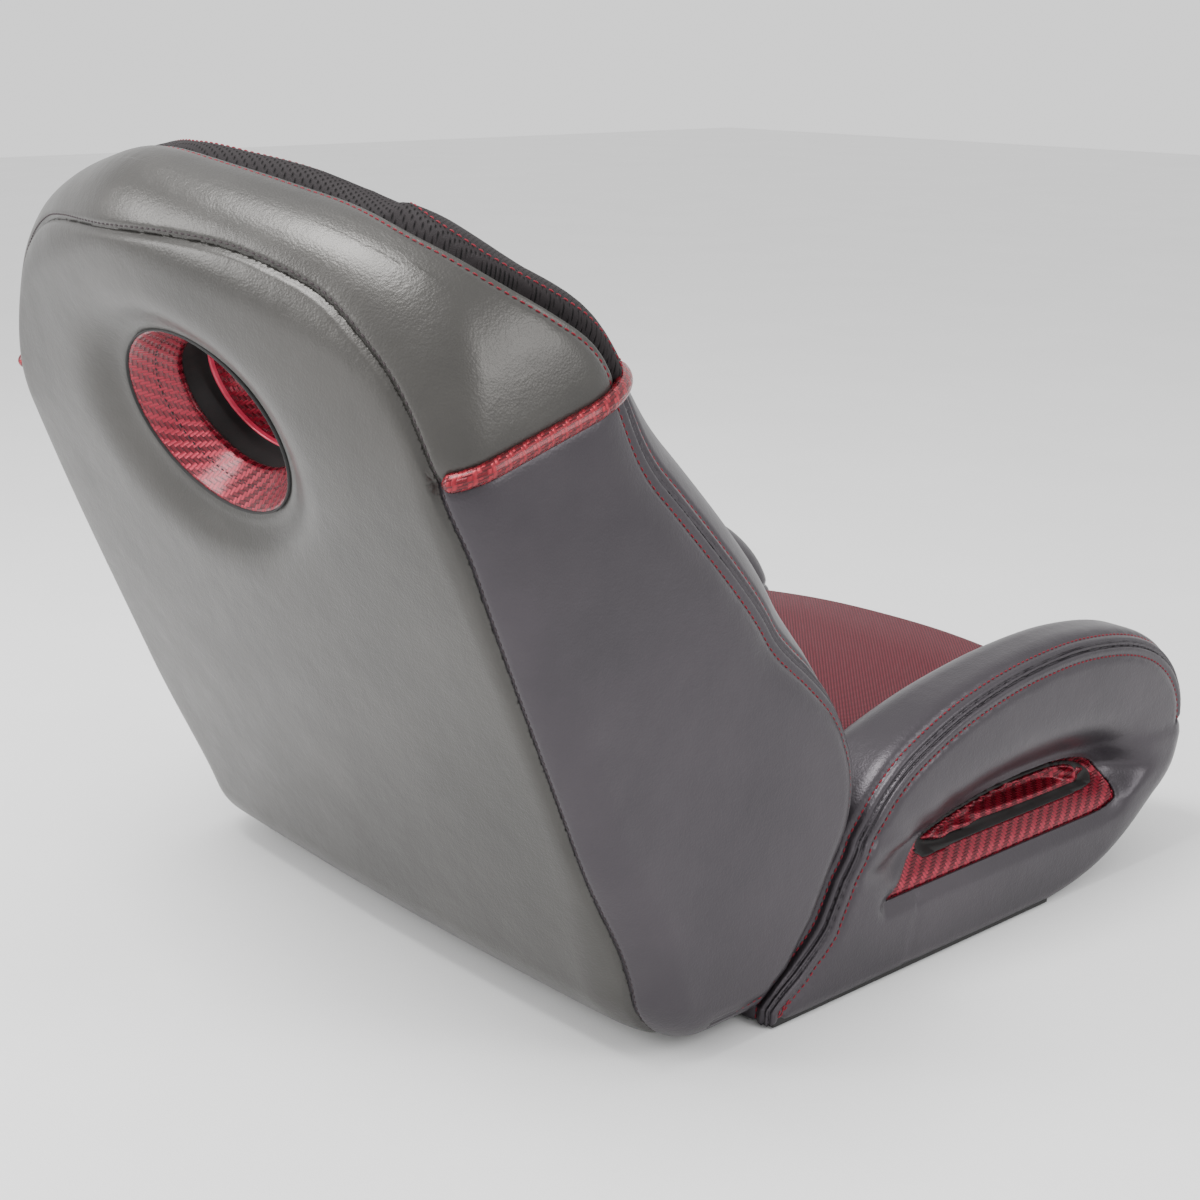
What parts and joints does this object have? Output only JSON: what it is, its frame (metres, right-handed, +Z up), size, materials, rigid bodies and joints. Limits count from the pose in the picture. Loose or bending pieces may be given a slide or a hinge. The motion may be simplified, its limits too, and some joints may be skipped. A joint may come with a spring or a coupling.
{
  "type": "bucket seat",
  "caption": "Upholstered high-sided bucket seat with a leaning, forward-folding backrest, pass-through opening and finger slots in the side wings.",
  "frame": {"origin": "centre of the base pan's underside, where the seat is bolted down", "axes": "+Z up, the seat faces -Y, X runs across the seat with the occupant's left at +X"},
  "size_m": [0.6142, 0.8415, 0.6212],
  "materials": {
    "grey_vinyl": "satin pearl-grey upholstery vinyl with fine grain over foam",
    "red_vinyl": "embossed burgundy upholstery vinyl over foam",
    "red_twill": "glossy burgundy carbon-twill vinyl",
    "black_mesh": "black spacer mesh with burgundy stitching",
    "black_trim": "matte black trim",
    "black_plastic": "moulded black plastic",
    "foam": "open-cell polyurethane foam",
    "plywood": "sealed marine plywood",
    "black_steel": "black powder-coated steel",
    "zinc_steel": "zinc-plated steel",
    "nylon": "natural nylon"
  },
  "bodies": {
    "base": {"hinge_bracket_right": "black_steel", "hinge_bracket_left": "black_steel", "stop_pin_right": "zinc_steel", "stop_pin_left": "zinc_steel", "pivot_bolt_right": "zinc_steel", "pivot_bolt_left": "zinc_steel", "pivot_nut_right": "zinc_steel", "pivot_nut_left": "zinc_steel", "pivot_washer_right": "zinc_steel", "pivot_washer_left": "zinc_steel", "base_pan": "black_plastic", "threaded_insert_1": "zinc_steel", "threaded_insert_2": "zinc_steel", "threaded_insert_3": "zinc_steel", "threaded_insert_4": "zinc_steel", "base_foam": "foam", "seat_cushion": "red_vinyl", "front_panel": "grey_vinyl", "wing_side_right": "grey_vinyl", "wing_side_left": "grey_vinyl", "wing_top_right": "grey_vinyl", "wing_top_left": "grey_vinyl", "wing_foam_right": "foam", "wing_foam_left": "foam", "slot_bezel_right": "red_twill", "slot_bezel_left": "red_twill", "slot_sleeve_right": "black_trim", "slot_sleeve_left": "black_trim", "slot_cup_right": "red_twill", "slot_cup_left": "red_twill", "edge_trim_right": "black_trim", "edge_trim_left": "black_trim"},
    "backrest": {"back_panel": "grey_vinyl", "back_board": "plywood", "frame_hoop": "black_steel", "frame_crossbar_lower": "black_steel", "frame_crossbar_upper": "black_steel", "top_band": "grey_vinyl", "side_panel_right": "grey_vinyl", "side_panel_left": "grey_vinyl", "bolster_right": "grey_vinyl", "bolster_left": "grey_vinyl", "lumbar_pad": "black_mesh", "shoulder_insert": "black_mesh", "bottom_roll": "grey_vinyl", "welt_right": "red_twill", "welt_left": "red_twill", "rear_bezel": "red_twill", "tunnel_liner": "black_trim", "front_bezel": "red_twill", "hinge_arm_right": "zinc_steel", "hinge_arm_left": "zinc_steel", "hinge_bush_right": "nylon", "hinge_bush_left": "nylon"}
  },
  "joints": [
    {"name": "backrest_fold", "type": "hinge", "parent": "base", "child": "backrest", "pos_m": [0, 0.194, 0.163], "axis": [1, 0, 0], "range_deg": [0, 55]}
  ]
}
